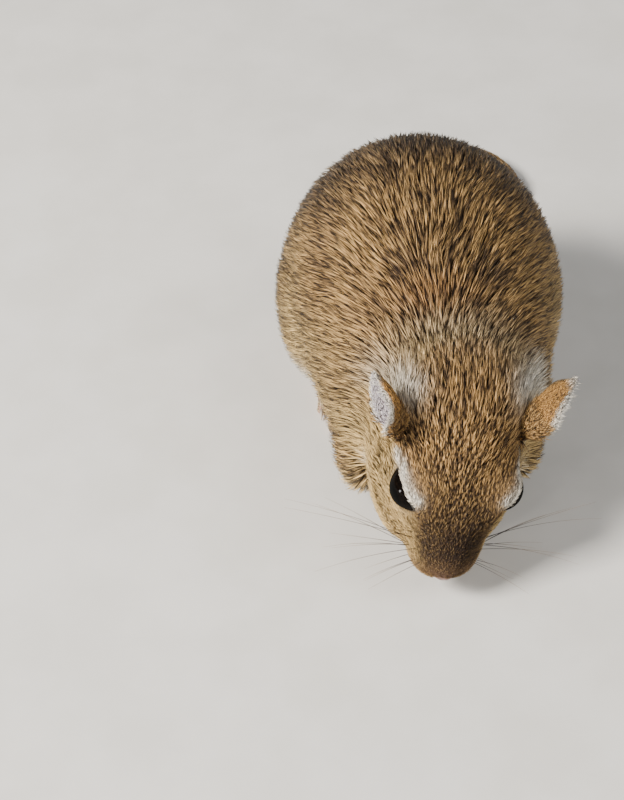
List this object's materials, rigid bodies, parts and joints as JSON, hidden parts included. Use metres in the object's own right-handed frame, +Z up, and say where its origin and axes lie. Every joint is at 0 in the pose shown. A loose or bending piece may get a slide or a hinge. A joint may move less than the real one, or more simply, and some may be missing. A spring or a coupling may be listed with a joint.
{
  "type": "gerbil",
  "caption": "Life-size still model of a Mongolian gerbil crouching with a rounded back and its nose to the ground, tail laid in an S behind it.",
  "frame": {"origin": "middle of the underside of the bounding box, on the ground under the belly", "axes": "+Z up, -Y the way the animal faces, +X to its own left"},
  "size_m": [0.0494, 0.115, 0.0467],
  "materials": {
    "body_fur": "short dense golden agouti fur with dark tips",
    "head_fur": "very short golden brown fur with dark ticking",
    "ear_skin": "thin skin with fine golden down outside and grey lilac inside",
    "eye": "wet black, mirror smooth",
    "nose_skin": "moist fine-grained skin",
    "foot_skin": "pale skin with sparse short hair and dark claws",
    "tail_fur": "short fur, golden above with dark hairs",
    "brush_fur": "longer dark brown hair"
  },
  "bodies": {
    "root": {"torso": "body_fur", "neck": "body_fur", "head": "head_fur", "jaw": "head_fur", "nose": "nose_skin", "haunch_left": "body_fur", "haunch_right": "body_fur", "eye_left": "eye", "eye_right": "eye", "ear_left": "ear_skin", "ear_right": "ear_skin", "foreleg_left": "body_fur", "foreleg_right": "body_fur", "forepaw_left": "foot_skin", "forepaw_right": "foot_skin", "hindfoot_left": "foot_skin", "hindfoot_right": "foot_skin", "tail_root": "tail_fur", "tail_bend": "tail_fur", "tail_end": "tail_fur", "tail_brush": "brush_fur"}
  },
  "joints": []
}
